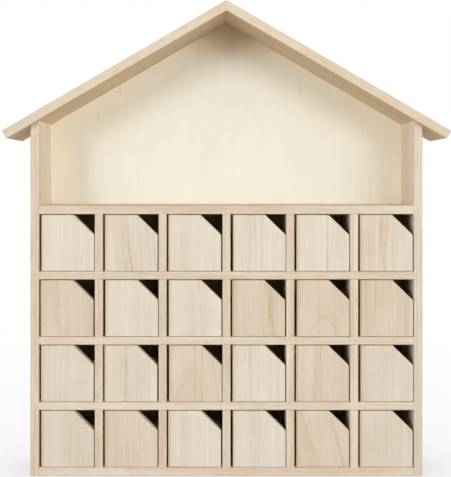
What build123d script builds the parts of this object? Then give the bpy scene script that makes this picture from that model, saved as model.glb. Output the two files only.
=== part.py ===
# A house-shaped wooden advent calendar: a case of small cells with a drawer in each, under an open attic
import os
from math import cos, radians, sin, tan

from build123d import *

os.makedirs("parts", exist_ok=True)

# Driving dimensions, in millimetres and degrees

# The case and its grid of cells
columns = 6
rows = 4
opening_width = 49.2
opening_height = 50.5
case_board = 7.5  # thickness of the sides, the base and the attic floor
grid_board = 7.0  # thickness of the shelves and the dividers
case_depth = 57.0  # from the front edges to the back panel
wall_height = 308.2  # outer top edge of the side boards
back_ply = 3.0
lap_clearance = 0.1  # how much wider and deeper a half lap's slot is than its board
arris = 0.4  # flat on an edge that has been eased with sandpaper

# The roof
roof_board = 7.8
roof_pitch = 30.2
roof_length = 227.0  # along the top face, from the ridge to the eave
roof_overhang = 6.5  # how far the roof stands out ahead of the case
roof_lap = 5.0  # how far the back panel reaches up the back edges of the roof boards

# The drawers
front_board = 7.0
gap_left = 1.9
gap_right = 0.9
gap_top = 0.7
drawer_lift = 0.3  # running clearance under a drawer
notch_width = 18.2  # finger gap in the upper right corner of each front
notch_height = 17.6
tray_ply = 3.0
tray_height = 30.0
tray_inset = 0.8  # how far the tray's sides stand in from the ends of the front
rear_gap = 1.0  # least room between a tray and the back panel
side_scatter = 0.4  # the drawers stand loose, up to this much to either side
depth_scatter = 0.5  # and some are pushed in up to this much further

# The brads, which are driven into undrilled wood
brad_width = 1.2
brad_thickness = 1.0
brad_length = 19.0
back_brad_length = 13.0
head_width = 2.2
head_thickness = 0.6
head_proud = 0.1
back_brads_high = 4  # in each side
back_brads_wide = 5  # in the base, and as many in the attic floor
back_brads_sloped = 3  # in each roof board

# Places that follow from the driving dimensions
column_pitch = opening_width + grid_board
row_pitch = opening_height + grid_board
inner_width = columns * column_pitch - grid_board
outer_width = inner_width + 2 * case_board
grid_height = rows * row_pitch - grid_board
grid_centre = case_board + grid_height / 2
attic_floor_bottom = case_board + grid_height
roof_depth = roof_overhang + case_depth
overall_depth = roof_depth + back_ply + head_proud
case_front = roof_overhang - overall_depth / 2
case_back = case_front + case_depth
back_face = case_back + back_ply
pitch = radians(roof_pitch)
ridge_underside = wall_height + tan(pitch) * outer_width / 2
ridge_top = ridge_underside + roof_board / cos(pitch)
lap_rise = roof_lap / cos(pitch)
eave_top = (roof_length * cos(pitch), ridge_top - roof_length * sin(pitch))
eave_bottom = (eave_top[0] - roof_board * sin(pitch), eave_top[1] - roof_board * cos(pitch))
front_width = opening_width - gap_left - gap_right
front_height = opening_height - gap_top - drawer_lift
tray_width = front_width - 2 * tray_inset
tray_length = case_depth - front_board - depth_scatter - rear_gap

# Sketches on this plane are drawn in X and Z, and go back into the case along -normal
case_face = Plane(origin=(0, case_front, 0), x_dir=(1, 0, 0), z_dir=(0, -1, 0))


def keep(piece, label):
    piece.label = label
    export_step(piece, f"parts/{label}.step")


def front_arrises(builder, axis):
    return builder.faces().filter_by(Axis.Y).group_by(Axis.Y)[0].edges().filter_by(axis)


# The side boards, with their tops cut to the slope of the roof
with BuildPart() as side_left:
    with BuildSketch(case_face):
        with BuildLine():
            Polyline(
                (-outer_width / 2, 0),
                (-inner_width / 2, 0),
                (-inner_width / 2, wall_height + tan(pitch) * case_board),
                (-outer_width / 2, wall_height),
                close=True,
            )
        make_face()
    extrude(amount=-case_depth)
    chamfer(front_arrises(side_left, Axis.Z), length=arris)
keep(side_left.part, "side_left")

with BuildPart() as side_right:
    mirror(side_left.part, about=Plane.YZ)
keep(side_right.part, "side_right")


# The base and the attic floor, which butt against the sides
def level_board(bottom):
    with BuildPart() as board:
        with BuildSketch(case_face):
            with Locations((0, bottom + case_board / 2)):
                Rectangle(inner_width, case_board)
        extrude(amount=-case_depth)
        chamfer(front_arrises(board, Axis.X), length=arris)
    return board.part


keep(level_board(0), "base_board")
keep(level_board(attic_floor_bottom), "attic_floor")

# The row shelves, unbroken along the front, with slots from behind for the dividers
with BuildPart() as row_shelves:
    with BuildSketch(case_face):
        with Locations((0, grid_centre)):
            with GridLocations(inner_width, row_pitch, 1, rows - 1):
                Rectangle(inner_width, grid_board)
    extrude(amount=-case_depth)
    chamfer(front_arrises(row_shelves, Axis.X), length=arris)
    with BuildSketch(case_face.offset(lap_clearance - case_depth / 2)):
        with Locations((0, grid_centre)):
            with GridLocations(column_pitch, grid_height, columns - 1, 1):
                Rectangle(grid_board + lap_clearance, grid_height)
    extrude(amount=-case_depth, mode=Mode.SUBTRACT)
keep(row_shelves.part, "row_shelves")

# The column dividers, with slots from the front for the shelves
with BuildPart() as column_dividers:
    with BuildSketch(case_face):
        with Locations((0, grid_centre)):
            with GridLocations(column_pitch, grid_height, columns - 1, 1):
                Rectangle(grid_board, grid_height)
    extrude(amount=-case_depth)
    chamfer(front_arrises(column_dividers, Axis.Z), length=arris)
    with BuildSketch(case_face):
        with Locations((0, grid_centre)):
            with GridLocations(inner_width, row_pitch, 1, rows - 1):
                Rectangle(inner_width, grid_board + lap_clearance)
    extrude(amount=-case_depth / 2, mode=Mode.SUBTRACT)
keep(column_dividers.part, "column_dividers")

# The back panel, which closes the cells and the attic and laps the back edges of the roof boards
with BuildPart() as back_panel:
    with BuildSketch(case_face.offset(-case_depth)):
        with BuildLine():
            Polyline(
                (-outer_width / 2, 0),
                (outer_width / 2, 0),
                (outer_width / 2, wall_height + lap_rise),
                (0, ridge_underside + lap_rise),
                (-outer_width / 2, wall_height + lap_rise),
                close=True,
            )
        make_face()
    extrude(amount=-back_ply)
keep(back_panel.part, "back_panel")

# The roof boards, mitred at the ridge and cut square at the eaves
with BuildPart() as roof_right:
    with BuildSketch(case_face.offset(roof_overhang)):
        with BuildLine():
            Polyline((0, ridge_underside), (0, ridge_top), eave_top, eave_bottom, close=True)
        make_face()
    extrude(amount=-roof_depth)
    away_from_mitre = roof_right.edges().filter_by(lambda edge: edge.center().X > arris)
    chamfer(away_from_mitre, length=arris)
keep(roof_right.part, "roof_right")

with BuildPart() as roof_left:
    mirror(roof_right.part, about=Plane.YZ)
keep(roof_left.part, "roof_left")


# Brads at places on a face of the case, with their heads standing just proud of it
def brads(face, places, length):
    with BuildPart() as driven:
        with BuildSketch(face):
            with Locations(*places):
                Rectangle(brad_width, brad_thickness)
        extrude(amount=-length)
        with BuildSketch(face.offset(head_proud)):
            with Locations(*places):
                Rectangle(head_width, brad_thickness)
        extrude(amount=-head_thickness)
    return driven.part


brad_depths = (case_front + case_depth / 4, case_back - case_depth / 4)
shelf_levels = [case_board + row * row_pitch - grid_board / 2 for row in range(1, rows)]
board_levels = [case_board / 2, *shelf_levels, attic_floor_bottom + case_board / 2]
wall_centre = (outer_width - case_board) / 2

# Through the sides into the ends of the base, the shelves and the attic floor
right_face = Plane(origin=(outer_width / 2, 0, 0), x_dir=(0, 1, 0), z_dir=(1, 0, 0))
board_ends = [(depth, level) for depth in brad_depths for level in board_levels]
right_brads = brads(right_face, board_ends, brad_length)
with BuildPart() as side_brads:
    add(right_brads)
    mirror(about=Plane.YZ)
keep(side_brads.part, "side_brads")

# Through the roof boards into the tops of the sides, square to the slope and centred on the wood that they reach
head_across = wall_centre + sin(pitch) * (roof_board + brad_length) / 2
head_centre = (head_across, 0, ridge_top - tan(pitch) * head_across)
roof_face = Plane(origin=head_centre, x_dir=(0, 1, 0), z_dir=(sin(pitch), 0, cos(pitch)))
right_roof_brads = brads(roof_face, [(depth, 0) for depth in brad_depths], brad_length)
with BuildPart() as roof_brads:
    add(right_roof_brads)
    mirror(about=Plane.YZ)
keep(roof_brads.part, "roof_brads")

# Through the back panel into the sides, the base, the attic floor and the roof boards
rear_face = Plane(origin=(0, back_face, 0), x_dir=(-1, 0, 0), z_dir=(0, 1, 0))
brad_rise = (wall_height - 2 * case_board) / back_brads_high
brad_stride = inner_width / back_brads_wide
slope_stride = outer_width / 2 / back_brads_sloped
up_the_sides = [
    (side * wall_centre, case_board + brad_rise * (step + 0.5))
    for side in (-1, 1)
    for step in range(back_brads_high)
]
along_the_boards = [
    (brad_stride * (step + 0.5) - inner_width / 2, level)
    for level in (board_levels[0], board_levels[-1])
    for step in range(back_brads_wide)
]
slope_steps = [slope_stride * (step + 0.5) for step in range(back_brads_sloped)]
along_the_roof = [
    (side * across, ridge_underside - tan(pitch) * across + lap_rise / 2)
    for side in (-1, 1)
    for across in slope_steps
]
rear_places = up_the_sides + along_the_boards + along_the_roof
keep(brads(rear_face, rear_places, back_brad_length), "back_panel_brads")


# A drawer front: a board with its upper right corner cut off for a finger
def drawer_front(left, face, bottom):
    with BuildPart() as front:
        with BuildSketch(Plane(origin=(left, face, bottom), x_dir=(1, 0, 0), z_dir=(0, -1, 0))):
            with BuildLine():
                Polyline(
                    (0, 0),
                    (front_width, 0),
                    (front_width, front_height - notch_height),
                    (front_width - notch_width, front_height),
                    (0, front_height),
                    close=True,
                )
            make_face()
        extrude(amount=-front_board)
        chamfer(front.faces().sort_by(Axis.Y)[0].edges(), length=arris)
    return front.part


def tray_piece(label, size, corner):
    with BuildPart() as piece:
        with Locations(corner):
            Box(*size, align=Align.MIN)
    piece.part.label = label
    return piece.part


# A tray behind a front: sides and a back that stand on the edges of a thin bottom
def drawer_tray(left, rear_of_front, bottom):
    floor = bottom + tray_ply
    rise = tray_height - tray_ply
    right_side = left + tray_width - tray_ply
    back = rear_of_front + tray_length - tray_ply
    return Compound(
        children=[
            tray_piece("bottom", (tray_width, tray_length, tray_ply), (left, rear_of_front, bottom)),
            tray_piece("side_left", (tray_ply, tray_length, rise), (left, rear_of_front, floor)),
            tray_piece("side_right", (tray_ply, tray_length, rise), (right_side, rear_of_front, floor)),
            tray_piece("back", (tray_width - 2 * tray_ply, tray_ply, rise), (left + tray_ply, back, floor)),
        ]
    )


# The drawers, numbered along the rows from the top left
for number in range(1, columns * rows + 1):
    row, column = divmod(number - 1, columns)
    aside = side_scatter * ((5 * number) % 7 - 3) / 3
    pushed_in = depth_scatter * ((3 * number) % 5) / 4
    left = column * column_pitch - inner_width / 2 + gap_left + aside
    face = case_front + pushed_in
    bottom = attic_floor_bottom - opening_height - row * row_pitch + drawer_lift
    keep(drawer_front(left, face, bottom), f"drawer_{number:02d}_front")
    keep(drawer_tray(left + tray_inset, face + front_board, bottom), f"drawer_{number:02d}_tray")
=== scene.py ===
import math
import random

import bmesh
import bpy
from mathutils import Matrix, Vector


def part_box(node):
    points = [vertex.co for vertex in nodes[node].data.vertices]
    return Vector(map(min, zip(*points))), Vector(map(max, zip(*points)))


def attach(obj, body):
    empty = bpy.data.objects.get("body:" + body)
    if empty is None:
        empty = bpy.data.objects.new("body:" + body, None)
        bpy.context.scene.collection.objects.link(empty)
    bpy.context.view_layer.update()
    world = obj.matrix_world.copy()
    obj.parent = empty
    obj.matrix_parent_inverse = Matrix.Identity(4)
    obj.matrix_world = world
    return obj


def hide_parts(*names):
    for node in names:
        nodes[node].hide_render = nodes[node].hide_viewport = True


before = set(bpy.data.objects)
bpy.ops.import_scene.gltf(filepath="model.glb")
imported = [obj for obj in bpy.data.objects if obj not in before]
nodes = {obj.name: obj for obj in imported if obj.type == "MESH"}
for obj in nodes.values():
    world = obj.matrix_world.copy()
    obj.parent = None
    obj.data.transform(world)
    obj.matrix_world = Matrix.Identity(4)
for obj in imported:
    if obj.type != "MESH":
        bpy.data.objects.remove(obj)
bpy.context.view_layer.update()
scene = bpy.context.scene
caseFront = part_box("base_board")[0].y
drawerNames = ["drawer_%02d" % number for number in range(1, 25)]
mmPerMetre = 1000.0


# a socket that takes Python maths, so that 1 - mask adds a Math node
class Wire:
    def __init__(self, bench, socket):
        self.bench = bench
        self.socket = socket

    def maths(self, operation, first, second=None):
        values = {0: first} if second is None else {0: first, 1: second}
        return self.bench.add("ShaderNodeMath", {"operation": operation}, values)

    def __add__(self, other):
        return self.maths("ADD", self, other)

    def __radd__(self, other):
        return self.maths("ADD", other, self)

    def __sub__(self, other):
        return self.maths("SUBTRACT", self, other)

    def __rsub__(self, other):
        return self.maths("SUBTRACT", other, self)

    def __mul__(self, other):
        return self.maths("MULTIPLY", self, other)

    def __rmul__(self, other):
        return self.maths("MULTIPLY", other, self)

    def __truediv__(self, other):
        return self.maths("DIVIDE", self, other)

    def __rtruediv__(self, other):
        return self.maths("DIVIDE", other, self)

    def __abs__(self):
        return self.maths("ABSOLUTE", self)

    def larger(self, other):
        return self.maths("MAXIMUM", self, other)


# the nodes of one material or world
class Bench:
    def __init__(self, tree):
        self.tree = tree
        tree.nodes.clear()

    def add(self, kind, settings=None, sockets=None, out=0):
        node = self.tree.nodes.new(kind)
        for name, value in (settings or {}).items():
            setattr(node, name, value)
        for key, value in (sockets or {}).items():
            if isinstance(value, Wire):
                self.tree.links.new(value.socket, node.inputs[key])
            else:
                node.inputs[key].default_value = value
        if isinstance(out, tuple):
            return [Wire(self, node.outputs[name]) for name in out]
        return Wire(self, node.outputs[out])

    def split(self, vector):
        return self.add("ShaderNodeSeparateXYZ", None, {"Vector": vector}, ("X", "Y", "Z"))

    def join(self, x, y, z):
        return self.add("ShaderNodeCombineXYZ", None, {"X": x, "Y": y, "Z": z})

    def noise(self, vector, detail, roughness=0.5):
        values = {"Vector": vector, "Scale": 1.0, "Detail": detail, "Roughness": roughness}
        return self.add("ShaderNodeTexNoise", {"noise_dimensions": "3D"}, values)

    def ramp(self, value, low, high):      # 0 below low, 1 above high
        values = {"Value": value, "From Min": low, "From Max": high}
        return self.add("ShaderNodeMapRange", {"interpolation_type": "SMOOTHSTEP"}, values)

    def mix(self, factor, first, second, blend="MIX"):
        settings = {"data_type": "RGBA", "blend_type": blend}
        return self.add("ShaderNodeMix", settings, {0: factor, 6: first, 7: second}, out=2)

    def tint(self, mask, colour, tint):      # multiply by the tint where the mask is 1
        return self.mix(mask, colour, (*tint, 1.0), "MULTIPLY")


def paint(red, green, blue):      # a colour as it looks, 0 to 255
    channels = [value / 255 for value in (red, green, blue)]
    linear = [value / 12.92 if value <= 0.04045 else ((value + 0.055) / 1.055) ** 2.4 for value in channels]
    return (*linear, 1.0)


def newMaterial(name):
    material = bpy.data.materials.new(name)
    material.use_nodes = True
    return material, Bench(material.node_tree)


def dress(piece, material):
    piece.data.materials.clear()
    piece.data.materials.append(material)


def addPiece(name, mesh, material):
    data = bpy.data.meshes.new(name)
    mesh.to_mesh(data)
    mesh.free()
    piece = bpy.data.objects.new(name, data)
    scene.collection.objects.link(piece)
    dress(piece, material)
    return piece


# all the wood is bare, with little shine
bareWood = {"specular": 0.12}


def finishWood(bench, colour, roughness, height, depth):
    bump = bench.add("ShaderNodeBump", None, {"Height": height, "Distance": depth, "Strength": 1.0})
    values = {
        "Base Color": colour,
        "Roughness": roughness,
        "Normal": bump,
        "Specular IOR Level": bareWood["specular"],
    }
    surface = bench.add("ShaderNodeBsdfPrincipled", None, values)
    bench.add("ShaderNodeOutputMaterial", None, {"Surface": surface}, ())


# sawn paulownia, a solid grain: faint uneven rings round a far pith, fine fibres and short open pores
paulownia = {
    "pale": (229, 216, 197),
    "warm": (217, 197, 172),
    "late": (197, 168, 136),
    "streak": (193, 163, 126),
    "turn": 0.0,              # degrees about Y from upright grain
    "pith": (120.0, 60.0),    # across and deep, in millimetres like the lengths below
    "shift": (0.0, 0.0, 0.0),
    "level": 0.0,             # height at which slants and marks are measured
    "slant": 0.0,             # sideways for each millimetre up the grain
    "taper": 0.01,
    "wander": 12.0,           # how far the rings stray
    "warmth": 0.95,
    "rings": 0.2,
    "grain": 1.4,             # contrast of the fibres and pores
    "edgeTint": (1.0, 1.0, 1.0),         # the sawn front and back edges, against the faces
    "marks": (),              # streaks: across, lean, half width, strength
    "markWander": 4.0,
    "markStripe": (0.3, 0.8),            # strength of a mark, and how much the stripes add to it
    "markBroken": 0.4,        # what is left of a mark at its breaks
    "edgeShadeAt": None,        # where across the left edge painted with shade lies, if the board has one
    "edgeShadeReach": 3.2,
    "edgeShadeTint": (0.88, 0.81, 0.7),
    # patterns round the pith: scales across the rings and along the grain, layer, detail, roughness
    "broad": (0.05, 0.003, 8.1, 1.0, 0.5),
    "stripe": (0.5, 0.002, 3.7, 3.0, 0.6),
    "lateWood": (0.23, 0.003, 5.9, 2.0, 0.5),
    # patterns in the solid: scales across and along the grain, detail, roughness
    "stray": (0.012, 0.006, 3.0, 0.5),
    "blotch": (0.05, 0.025, 2.0, 0.5),
    "fibre": (1.4, 0.03, 3.0, 0.65),
    "pore": (3.2, 0.1, 1.0, 0.5),
    "breaks": (0.3, 0.08, 2.0, 0.5),
    # where a pattern, or how far a face is turned, goes from none to full
    "toneBand": (0.3, 0.7),
    "lateBand": (0.54, 0.78),
    "poreBand": (0.62, 0.76),
    "breakBand": (0.35, 0.65),
    "endBand": (0.55, 0.95),
    "sawnBand": (0.6, 0.9),
    "toneShares": (0.35, 0.4, 0.25),     # of the broad rings, the stripes and the blotches
    "fibreShade": 0.14,
    "poreShade": 0.08,
    "poreMean": 0.1,
    "endShare": 0.5,          # how far end grain goes to the late wood's colour
    "roughness": 0.6,
    "fibreRough": 0.14,       # what the fibres and end grain add to it
    "endRough": 0.1,
    "fibreRise": 0.5,         # height of the fibres against the depth of the pores
    "fibreDepth": 0.00006,
}


def woodMaterial(name, **cut):
    look = dict(paulownia, **cut)
    turn = (0.0, math.radians(look["turn"]), 0.0)
    material, bench = newMaterial(name)
    place, facing = bench.add("ShaderNodeTexCoord", None, None, ("Object", "Normal"))
    values = {"Vector": place, "Location": look["shift"], "Rotation": turn, "Scale": (mmPerMetre,) * 3}
    across, deep, length = bench.split(bench.add("ShaderNodeMapping", None, values))
    up = length - look["level"]

    def inSolid(pattern):
        wide, tall, detail, roughness = look[pattern]
        return bench.noise(bench.join(across * wide, deep * wide, length * tall), detail, roughness)

    wander = inSolid("stray") - 0.5
    pithAcross, pithDeep = look["pith"]
    away = bench.join(across + up * look["slant"] - pithAcross, deep - pithDeep, 0.0)
    radius = bench.add("ShaderNodeVectorMath", {"operation": "LENGTH"}, {0: away}, "Value")
    radius = radius + wander * look["wander"] + length * look["taper"]

    def roundPith(pattern):
        wide, tall, layer, detail, roughness = look[pattern]
        return bench.noise(bench.join(radius * wide, length * tall, layer), detail, roughness)

    stripe = roundPith("stripe")
    fibre = inSolid("fibre")
    pore = bench.ramp(inSolid("pore"), *look["poreBand"])
    # rings and blotches
    broadShare, stripeShare, blotchShare = look["toneShares"]
    tone = bench.ramp(roundPith("broad"), *look["toneBand"]) * broadShare
    tone = tone + bench.ramp(stripe, *look["toneBand"]) * stripeShare
    tone = tone + bench.ramp(inSolid("blotch"), *look["toneBand"]) * blotchShare
    colour = bench.mix(tone * look["warmth"], paint(*look["pale"]), paint(*look["warm"]))
    late = bench.ramp(roundPith("lateWood"), *look["lateBand"])
    colour = bench.mix(late * look["rings"], colour, paint(*look["late"]))
    # marks
    plainMark, stripedMark = look["markStripe"]
    broken = look["markBroken"] + bench.ramp(inSolid("breaks"), *look["breakBand"])
    for middle, lean, width, strength in look["marks"]:
        offset = abs(across - middle - up * lean + wander * look["markWander"])
        mark = (1 - bench.ramp(offset, 0.0, width)) * (stripe * stripedMark + plainMark) * broken
        colour = bench.mix(mark * strength, colour, paint(*look["streak"]))
    # painted shade along the front's left edge, where its side lies in the shaded gap
    if look["edgeShadeAt"] is not None:
        leftEdgeShade = 1 - bench.ramp(across - look["edgeShadeAt"], 0.0, look["edgeShadeReach"])
        colour = bench.tint(leftEdgeShade, colour, look["edgeShadeTint"])
    # fibres, edges and end grain
    facing = bench.add("ShaderNodeMapping", {"vector_type": "VECTOR"}, {"Vector": facing, "Rotation": turn})
    _, faceDepth, faceLength = bench.split(facing)
    endGrain = bench.ramp(abs(faceLength), *look["endBand"])
    sawn = bench.ramp(abs(faceDepth), *look["sawnBand"])
    shade = 1 + (0.5 - fibre) * look["fibreShade"] * look["grain"]
    shade = shade - (pore - look["poreMean"]) * look["poreShade"] * look["grain"]
    colour = bench.mix(1.0, colour, shade, "MULTIPLY")
    # on the case, roof and cell boards this edge tint against the faces carries painted light and shade
    colour = bench.tint(sawn, colour, look["edgeTint"])
    colour = bench.mix(endGrain * look["endShare"], colour, paint(*look["late"]))
    roughness = look["roughness"] + fibre * look["fibreRough"] + endGrain * look["endRough"]
    finishWood(bench, colour, roughness, fibre * look["fibreRise"] - pore, look["fibreDepth"])
    return material


# the case, cut from several boards of the same tree: upright grain 0, level -90, the roof along its slopes
roofPitch = 30.2
# the roof faces are darker and warmer, painted shade for the undersides; the edge tint lifts the front edges
# back to the plain roof colour
roofShadeStock = {"pale": (221, 202, 173), "warm": (207, 181, 147), "edgeTint": (1.02, 1.08, 1.22)}
# the edges are 0.93 of the faces: the faces are painted lighter than the front and back edges, lifting their
# shade inside the case
caseStock = {"pale": (233, 221, 203), "warm": (213, 191, 164), "edgeTint": (0.93, 0.93, 0.93), "grain": 2.2}
# the shelf and divider faces are warmer and darker, painted shade inside the cells; the edge tint keeps the
# front edges as before
cellShadeStock = {"pale": (230, 213, 187), "warm": (208, 182, 148), "edgeTint": (0.965, 1.02, 1.14)}
caseBoards = {
    "side_left": {
        "pith": (20, 190),
        "shift": (180, 7, 0),
        "pale": (228, 218, 202),
        "warm": (208, 188, 163),
        "edgeTint": (1.0, 0.99, 0.99),
        "marks": ((8.2, 0, 0.9, 0.4), (11.6, 0, 1.0, 0.5)),
    },
    "side_right": {
        "pith": (40, -170),
        "shift": (0, 5, 900),
        "pale": (225, 213, 198),
        "warm": (207, 188, 166),
        "edgeTint": (0.95, 0.95, 0.95),
        "marks": ((168.0, 0, 0.9, 0.4), (171.4, 0, 0.8, 0.3)),
    },
    "base_board": {"turn": -90, "pith": (60, -90), "shift": (0, 0, 300)},
    "attic_floor": {"turn": -90, "pith": (-160, 70), "shift": (0, 4, 800)},
    "row_shelves": {
        "turn": -90,
        "pith": (90, 140),
        "shift": (9, 0, 1500),
        "marks": ((-167, 0, 12, 0.3),),
        **cellShadeStock,
    },
    "column_dividers": {
        "pith": (-400, 60),
        "shift": (0, 0, 2100),
        "marks": (
            (-112.4, 0, 12, 0.35),
            (-113.5, 0, 1.6, 0.5),
            (-56.2, 0, 12, 0.22),
            (-57, 0, 1.5, 0.3),
            (-1, 0, 1.2, 0.3),
            (58, 0, 1.4, 0.3),
            (111, 0, 1.5, 0.35),
        ),
        **cellShadeStock,
    },
    "roof_left": {"turn": roofPitch - 90, "pith": (-330, 160), "shift": (0, 0, 2600), **roofShadeStock},
    "roof_right": {"turn": -roofPitch - 90, "pith": (-330, -150), "shift": (0, 0, 3300), **roofShadeStock},
}
for name, cut in caseBoards.items():
    dress(nodes[name], woodMaterial(name + "_wood", **{**caseStock, **cut}))
print("case boards:", len(caseBoards))

# the drawer fronts, from three stocks of board, each at its own place in the tree
drawerFronts = {
    "stocks": {
        "cream": {"pale": (226, 217, 204), "warm": (212, 197, 177)},
        "straw": {"pale": (223, 212, 198), "warm": (208, 191, 170)},
        "tan": {"pale": (222, 208, 190), "warm": (204, 184, 160)},
    },
    "cream": (1, 3, 4, 5, 8, 9, 14, 16, 21, 22),      # the drawers that aren't straw
    "tan": (7, 10, 11, 12, 15, 17, 20, 23),
    "special": {
        2: {"slant": 0.1, "marks": ((-2, -0.12, 2.4, 0.6), (-6, -0.12, 5, 0.3))},
        3: {"marks": ((18, 0, 2, 0.25),)},
        4: {"marks": ((3, 0, 1.8, 0.45), (-8, 0, 4, 0.28))},
        5: {"marks": ((4, 0, 1.6, 0.55), (-21, 0, 2, 0.25))},
        6: {
            "marks": (
                (-5.5, 0.02, 1.6, 0.65),
                (-0.5, 0.03, 2.8, 0.55),
                (-2, 0.02, 6, 0.35),
                (6, 0, 1.2, 0.3),
            ),
        },
        7: {"marks": ((0.5, -0.05, 3.6, 0.25),)},
        9: {"marks": ((5.5, -0.1, 3, 0.22),)},
        10: {"marks": ((10, -0.13, 3.4, 0.65), (11.5, -0.1, 7, 0.35), (3, -0.05, 3, 0.3))},
        11: {
            "pith": (-2, 22),
            "taper": 0.12,
            "rings": 0.22,
            "marks": ((-3.5, 0, 1.3, 0.4), (10, 0, 1.3, 0.25)),
        },
        12: {"marks": ((-10.5, 0.03, 1.6, 0.55), (2, 0, 1.8, 0.3), (16, 0, 2, 0.25)), "rings": 0.3},
        13: {"rings": 0.05},
        14: {"marks": ((-4.2, 0.01, 1.8, 0.65),)},
        15: {"pith": (-6, 24), "taper": 0.1, "marks": ((-0.5, 0, 1.6, 0.5), (5.5, 0, 1.6, 0.4))},
        16: {"marks": ((-8, 0, 3, 0.2),)},
        17: {"marks": ((-1.5, 0, 1.3, 0.5), (-6, 0, 7, 0.25))},
        18: {"rings": 0.05},
        23: {"slant": 0.25, "marks": ((-12, -0.3, 2.4, 0.5), (12, -0.3, 2.4, 0.45))},
        24: {"marks": ((21, 0, 3, 0.35),)},
    },
    # what is drawn for each front
    "seed": 24,
    "start": (0, 3000),
    "pithAside": (50, 160),
    "pithDeep": (20, 60),
    "slant": (-0.03, 0.03),
    "rings": (0.05, 0.22),
}


def stockOf(number):
    for name in ("cream", "tan"):
        if number in drawerFronts[name]:
            return drawerFronts["stocks"][name]
    return drawerFronts["stocks"]["straw"]


def frontCut(number, drawer, draw):
    low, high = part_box(drawer + "_front")
    middle = (low + high) / 2 * mmPerMetre
    start = draw.uniform(*drawerFronts["start"])
    pithAside = draw.choice((-1, 1)) * draw.uniform(*drawerFronts["pithAside"])
    cut = {
        "pith": (pithAside, draw.uniform(*drawerFronts["pithDeep"])),
        "shift": (-middle.x, -middle.y, start),
        "level": middle.z + start,
        "slant": draw.uniform(*drawerFronts["slant"]),
        "rings": draw.uniform(*drawerFronts["rings"]),
        "edgeShadeAt": (low.x - high.x) / 2 * mmPerMetre,
    }
    return {**cut, **stockOf(number), **drawerFronts["special"].get(number, {})}


frontDraw = random.Random(drawerFronts["seed"])
for number, drawer in enumerate(drawerNames, 1):
    cut = frontCut(number, drawer, frontDraw)
    dress(nodes[drawer + "_front"], woodMaterial(drawer + "_front_wood", **cut))
print("drawer fronts:", len(drawerNames))

# the back panel and the trays are plywood: pale faces and a darker core that shows at the edges
plywood = {
    "face": (233, 230, 218),
    "figure": (224, 217, 202),
    "knot": (176, 142, 104),
    "core": (205, 178, 142),
    "tints": None,            # a function that gives masks, each with the colour it multiplies by
    "coreBand": (0.15, 0.19),            # of the thickness, from core to face
    # patterns on the faces: scales across and along the grain, layer, detail, roughness
    "stray": (0.02, 0.006, 0.0, 2.0, 0.5),
    "flame": (0.4, 0.012, 2.0, 4.0, 0.6),
    "cloud": (0.035, 0.02, 6.0, 3.0, 0.6),
    # patterns in the solid: scales across, along and through the board, detail, roughness
    "fibre": (1.4, 0.03, 1.4, 3.0, 0.6),
    "coreFibre": (0.05, 2.2, 2.2, 2.0, 0.6),
    "strayReach": 9.0,        # how far the figure strays
    "flameBand": (0.3, 0.75),
    "flameShare": 0.28,
    "cloudBand": (0.3, 0.7),
    "cloudShare": 0.37,
    "knotCell": (24.0, 56.0),            # millimetres across and along the grain for each knot or fleck
    "knotBand": (0.008, 0.035),          # of a cell, from its middle
    "knotStrength": 0.3,
    "knotHalo": 0.15,
    "haloStrength": 0.1,
    "knotChance": (0.5, 0.9),            # cells below the first have no knot
    "shade": 1.025,
    "fibreShade": 0.05,
    "coreShade": 0.25,
    "roughness": 0.56,
    "fibreRough": 0.12,
    "fibreDepth": 0.00003,
}


# coordinate gives through, along and across the board, in millimetres
def plyMaterial(name, coordinate, thickness, **tones):
    look = dict(plywood, **tones)
    material, bench = newMaterial(name)
    through, length, across = coordinate(bench)

    def onFace(pattern, aside=0.0):
        wide, tall, layer, detail, roughness = look[pattern]
        return bench.noise(bench.join(across * wide + aside, length * tall, layer), detail, roughness)

    def inSolid(pattern):
        wide, tall, thick, detail, roughness = look[pattern]
        return bench.noise(bench.join(across * wide, length * tall, through * thick), detail, roughness)

    coreFrom, coreTo = look["coreBand"]
    core = 1 - bench.ramp(abs(through), thickness * coreFrom, thickness * coreTo)
    flame = onFace("flame", onFace("stray") * look["strayReach"])
    fibre = inSolid("fibre")
    coreFibre = core * inSolid("coreFibre")
    # pin knots and flecks along the grain, in a few of the cells
    cellWide, cellTall = look["knotCell"]
    cells = bench.join(across / cellWide, length / cellTall, 0.0)
    settings = {"feature": "F1", "voronoi_dimensions": "2D"}
    values = {"Vector": cells, "Scale": 1.0}
    distance, chance = bench.add("ShaderNodeTexVoronoi", settings, values, ("Distance", "Color"))
    knot = (1 - bench.ramp(distance, *look["knotBand"])) * look["knotStrength"]
    knot = knot + (1 - bench.ramp(distance, 0.0, look["knotHalo"])) * look["haloStrength"]
    knot = knot * bench.ramp(bench.split(chance)[0], *look["knotChance"])
    # colour
    tone = bench.ramp(flame, *look["flameBand"]) * look["flameShare"]
    tone = tone + bench.ramp(onFace("cloud"), *look["cloudBand"]) * look["cloudShare"]
    colour = bench.mix(tone, paint(*look["face"]), paint(*look["figure"]))
    colour = bench.mix(knot, colour, paint(*look["knot"]))
    if look["tints"]:
        for mask, tint in look["tints"](bench):
            colour = bench.tint(mask, colour, tint)
    colour = bench.mix(core, colour, paint(*look["core"]))
    shade = look["shade"] - fibre * look["fibreShade"] - coreFibre * look["coreShade"]
    colour = bench.mix(1.0, colour, shade, "MULTIPLY")
    roughness = look["roughness"] + fibre * look["fibreRough"]
    finishWood(bench, colour, roughness, fibre - coreFibre, look["fibreDepth"])
    return material


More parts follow.
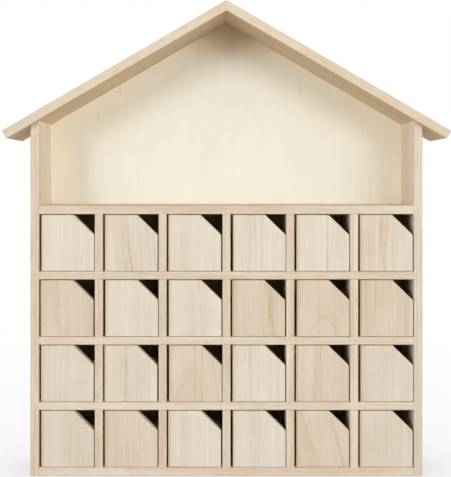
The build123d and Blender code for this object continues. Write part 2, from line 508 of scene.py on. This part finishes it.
# the panel's front face in the attic carries painted warm bounce light beside the roof and the sides, and
# painted shade in the ridge corner and in the cells behind the drawers; its rear face is tinted warmer
backPanel = {
    "nearSide": (0.11, 0.17),       # metres from the middle, from plain to all warm
    "nearRoof": (0.0, 0.08),        # metres below the slopes, from all warm to plain
    # painted warm bounce light, lighter in red and green, in the shade by the slopes and the sides
    "paintedBounceTint": (1.11, 1.06, 0.985),
    "nearRidge": (0.012, 0.05),     # metres below the ridge, from painted shade to plain
    "ridgeSpread": 0.3,             # how much a metre aside counts against a metre below
    # painted shade in the ridge corner
    "ridgeShadeTint": (0.88, 0.75, 0.6),
    # painted warm shade on the panel inside the cells, behind the drawers
    "cellShadeTint": (1.0, 0.9, 0.74),
    "rearTint": (1.0, 0.95, 0.87),
}
backLow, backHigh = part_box("back_panel")
atticLow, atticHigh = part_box("attic_floor")


def backCoordinate(bench):
    x, y, z = bench.split(bench.add("ShaderNodeTexCoord", None, None, "Object"))
    return (y - (backLow.y + backHigh.y) / 2) * mmPerMetre, z * mmPerMetre, x * mmPerMetre


def backTints(bench):
    place, facing = bench.add("ShaderNodeTexCoord", None, None, ("Object", "Normal"))
    x, _, z = bench.split(place)
    _, rearward, _ = bench.split(facing)
    aside = abs(x)
    belowRidge = backHigh.z - z
    belowSlope = belowRidge - aside * math.tan(math.radians(roofPitch))
    side = bench.ramp(aside, *backPanel["nearSide"])
    roof = 1 - bench.ramp(belowSlope, *backPanel["nearRoof"])
    ridge = 1 - bench.ramp(belowRidge + aside * backPanel["ridgeSpread"], *backPanel["nearRidge"])
    attic = bench.ramp(z, atticLow.z, atticHigh.z)
    rear = bench.ramp(rearward, -0.5, 0.5)
    front = 1 - rear
    return (
        # painted bounce light by the slopes and sides, painted shade in the ridge corner and in the cells, a
        # warmer rear face
        (side.larger(roof) * attic * front, backPanel["paintedBounceTint"]),
        (ridge * front, backPanel["ridgeShadeTint"]),
        ((1 - attic) * front, backPanel["cellShadeTint"]),
        (rear, backPanel["rearTint"]),
    )


backThick = (backHigh.y - backLow.y) * mmPerMetre
dress(nodes["back_panel"], plyMaterial("back_panel_ply", backCoordinate, backThick, tints=backTints))
print("back panel")

# the trays: four thin boards each, with eased edges, which carry their own board coordinate
trayBoards = {
    "ply": 0.003,
    "ease": 0.0003,
    "easeSegments": 2,
    "seed": 7,
    "sheet": (0, 4000),       # millimetres of plywood that the boards are cut from
    # the tray ply is warmer and darker than the back panel, partly painted shade for the insides of the cells
    "tones": {"face": (231, 208, 175), "figure": (219, 192, 155), "core": (180, 145, 104)},
}


def trayCoordinate(bench):
    return bench.split(bench.add("ShaderNodeAttribute", {"attribute_name": "board"}, None, "Vector"))


trayPly = plyMaterial("tray_ply", trayCoordinate, trayBoards["ply"] * mmPerMetre, **trayBoards["tones"])


# thin and length are the axes of the board's thickness and grain
def addBoard(mesh, low, high, thin, length, offset):
    corners = bmesh.ops.create_cube(mesh, size=1)["verts"]
    bmesh.ops.scale(mesh, vec=high - low, verts=corners)
    edges = list({edge for corner in corners for edge in corner.link_edges})
    eased = bmesh.ops.bevel(mesh, geom=edges, offset=trayBoards["ease"], segments=trayBoards["easeSegments"],
                            profile=0.5, affect="EDGES", material=-1)
    verts = list({vert for face in eased["faces"] for vert in face.verts})
    board = mesh.verts.layers.float_vector["board"]
    wide = 3 - thin - length      # the axis that is left
    for vert in verts:
        inBoard = vert.co * mmPerMetre
        vert[board] = (inBoard[thin], inBoard[length] + offset[0], inBoard[wide] + offset[1])
    bmesh.ops.translate(mesh, vec=(low + high) / 2, verts=verts)


def makeTray(drawer, draw):
    low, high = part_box(drawer + "_tray")
    ply = trayBoards["ply"]
    floor = low.z + ply
    # bottom, left, right and back
    boards = (
        (low, Vector((high.x, high.y, floor)), 2, 1),
        (Vector((low.x, low.y, floor)), Vector((low.x + ply, high.y, high.z)), 0, 1),
        (Vector((high.x - ply, low.y, floor)), high, 0, 1),
        (Vector((low.x + ply, high.y - ply, floor)), Vector((high.x - ply, high.y, high.z)), 1, 0),
    )
    mesh = bmesh.new()
    mesh.verts.layers.float_vector.new("board")
    for lowCorner, highCorner, thin, length in boards:
        offset = (draw.uniform(*trayBoards["sheet"]), draw.uniform(*trayBoards["sheet"]))
        addBoard(mesh, lowCorner, highCorner, thin, length, offset)
    piece = addPiece(drawer + "_tray_boards", mesh, trayPly)
    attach(piece, drawer)
    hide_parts(drawer + "_tray")


trayDraw = random.Random(trayBoards["seed"])
for drawer in drawerNames:
    makeTray(drawer, trayDraw)
print("trays:", len(drawerNames))

# brads of bright wire, dulled in patches
bradSteel = {"colour": (150, 147, 142), "roughness": 0.38, "dullness": 0.2, "patches": 2500.0, "detail": 2.0}


def steelMaterial():
    material, bench = newMaterial("brad_steel")
    place = bench.add("ShaderNodeTexCoord", None, None, "Object")
    values = {0: place, "Scale": bradSteel["patches"]}
    dull = bench.noise(bench.add("ShaderNodeVectorMath", {"operation": "SCALE"}, values), bradSteel["detail"])
    values = {
        "Base Color": paint(*bradSteel["colour"]),
        "Metallic": 1.0,
        "Roughness": bradSteel["roughness"] + dull * bradSteel["dullness"],
    }
    surface = bench.add("ShaderNodeBsdfPrincipled", None, values)
    bench.add("ShaderNodeOutputMaterial", None, {"Surface": surface}, ())
    return material


steel = steelMaterial()
for name in ("side_brads", "roof_brads", "back_panel_brads"):
    dress(nodes[name], steel)
print("brads")

# floor and background, white to the camera, with the floor keeping a soft shadow near the case
studio = {
    "floorSize": 8.0,
    "floorDrop": 0.0002,      # under the case, so that the two don't flicker
    "floorFront": (190, 189, 187),       # grey paper before the case, white beside and behind it
    "floorRear": (246, 246, 246),
    "floorChange": (-0.03, 0.02),        # metres along Y
    "floorWhite": 0.88,       # how much of the floor near the case is plain white to the camera
    "whiteBand": (0.25, 0.8),            # metres from the middle to where it turns all white
    "shadowReach": 0.14,      # metres from the case that its shadow shows on the white
    "shadowDepth": 0.4,
    "shadowSamples": 8,
    "ambient": 0.6,
    "unlitWay": (0.0, -1.0, 0.0),        # the room is dark in front of the case
    "unlitAngles": (90.0, 130.0),        # degrees from it: all dark, all lit
    "aim": (0.0, 0.0, 0.22),
    "lamps": {
        "front_box": {"place": (0.0, -2.86, 1.87), "size": (1.6, 1.2), "power": 13.2},
        "right_near": {"place": (1.63, -2.81, 0.75), "size": (1.5, 1.4), "power": 37.5},
        "right_far": {"place": (2.83, -1.63, 0.75), "size": (1.9, 1.4), "power": 38.5},
        "left_near": {"place": (-2.0, -2.56, 0.85), "size": (0.9, 1.4), "power": 37.0},
        "left_far": {"place": (-2.9, -1.5, 0.75), "size": (1.7, 1.4), "power": 27.3},
        "rear_box": {"place": (0.6, 2.9, 1.0), "size": (2.0, 1.4), "power": 32.0},
        "roof_box": {"place": (0.0, 0.7, 1.5), "size": (0.8, 0.4), "power": 4.0},
    },
}
white = (1.0, 1.0, 1.0, 1.0)


def seenWhite(bench):      # 1 on camera, glossy and transmission rays
    names = ("Is Camera Ray", "Is Glossy Ray", "Is Transmission Ray")
    camera, glossy, through = bench.add("ShaderNodeLightPath", None, None, names)
    return camera.larger(glossy).larger(through)


def floorMaterial():
    material, bench = newMaterial("floor_paper")
    place = bench.add("ShaderNodeTexCoord", None, None, "Object")
    seen = seenWhite(bench)
    # the paper
    behind = bench.ramp(bench.split(place)[1], *studio["floorChange"])
    colour = bench.mix(behind.larger(seen), paint(*studio["floorFront"]), paint(*studio["floorRear"]))
    paper = bench.add("ShaderNodeBsdfDiffuse", None, {"Color": colour})
    # the white that the camera sees, and the shadow on it
    settings = {"samples": studio["shadowSamples"]}
    clear = bench.add("ShaderNodeAmbientOcclusion", settings, {"Distance": studio["shadowReach"]}, "AO")
    strength = 1 - (1 - clear) * studio["shadowDepth"]
    glow = bench.add("ShaderNodeEmission", None, {"Color": white, "Strength": strength})
    distance = bench.add("ShaderNodeVectorMath", {"operation": "LENGTH"}, {0: place}, "Value")
    far = bench.ramp(distance, *studio["whiteBand"])
    share = studio["floorWhite"] + far * (1 - studio["floorWhite"])
    surface = bench.add("ShaderNodeMixShader", None, {0: seen * share, 1: paper, 2: glow})
    bench.add("ShaderNodeOutputMaterial", None, {"Surface": surface}, ())
    return material


def makeFloor():
    mesh = bmesh.new()
    bmesh.ops.create_grid(mesh, x_segments=1, y_segments=1, size=studio["floorSize"] / 2)
    bmesh.ops.translate(mesh, vec=(0, 0, -studio["floorDrop"]), verts=mesh.verts)
    floor = addPiece("floor", mesh, floorMaterial())


def makeWorld():
    world = bpy.data.worlds.new("studio")
    world.use_nodes = True
    scene.world = world
    bench = Bench(world.node_tree)
    way = bench.add("ShaderNodeTexCoord", None, None, "Generated")
    values = {0: way, 1: studio["unlitWay"]}
    towards = bench.add("ShaderNodeVectorMath", {"operation": "DOT_PRODUCT"}, values, "Value")
    allDark, allLit = [math.cos(math.radians(angle)) for angle in studio["unlitAngles"]]
    ambient = (1 - bench.ramp(towards, allLit, allDark)) * studio["ambient"]
    strength = ambient.larger(seenWhite(bench))
    background = bench.add("ShaderNodeBackground", None, {"Color": white, "Strength": strength})
    bench.add("ShaderNodeOutputWorld", None, {"Surface": background}, ())


def makeLamp(name, lamp):
    data = bpy.data.lights.new(name, "AREA")
    data.shape = "RECTANGLE"
    data.size, data.size_y = lamp["size"]
    data.energy = lamp["power"]
    light = bpy.data.objects.new(name, data)
    light.location = lamp["place"]
    aim = Vector(studio["aim"]) - light.location
    light.rotation_euler = aim.to_track_quat("-Z", "Y").to_euler()
    scene.collection.objects.link(light)


makeFloor()
makeWorld()
for name, lamp in studio["lamps"].items():
    makeLamp(name, lamp)
print("studio")

# a level camera, with the picture slid down by the lens shift as in the photograph
view = {
    "frame": (451, 477),        # pixels
    "axisPixel": (220.9, 180.0),
    "focalPixels": 891.0,
    "distance": 0.784,          # metres before the case
    "aside": -0.0049,
    "height": 0.2605,
    "sensor": 36.0,
}


def makeCamera():
    data = bpy.data.cameras.new("camera")
    width, height = view["frame"]
    axisAcross, axisDown = view["axisPixel"]
    data.sensor_width = view["sensor"]
    data.lens = view["focalPixels"] * view["sensor"] / height
    data.shift_x = (width / 2 - axisAcross) / height
    data.shift_y = (axisDown - height / 2) / height
    camera = bpy.data.objects.new("camera", data)
    camera.location = (view["aside"], caseFront - view["distance"], view["height"])
    camera.rotation_euler = (math.pi / 2, 0, 0)
    scene.collection.objects.link(camera)
    scene.camera = camera


makeCamera()
scene.view_settings.view_transform = "Standard"
print("camera")
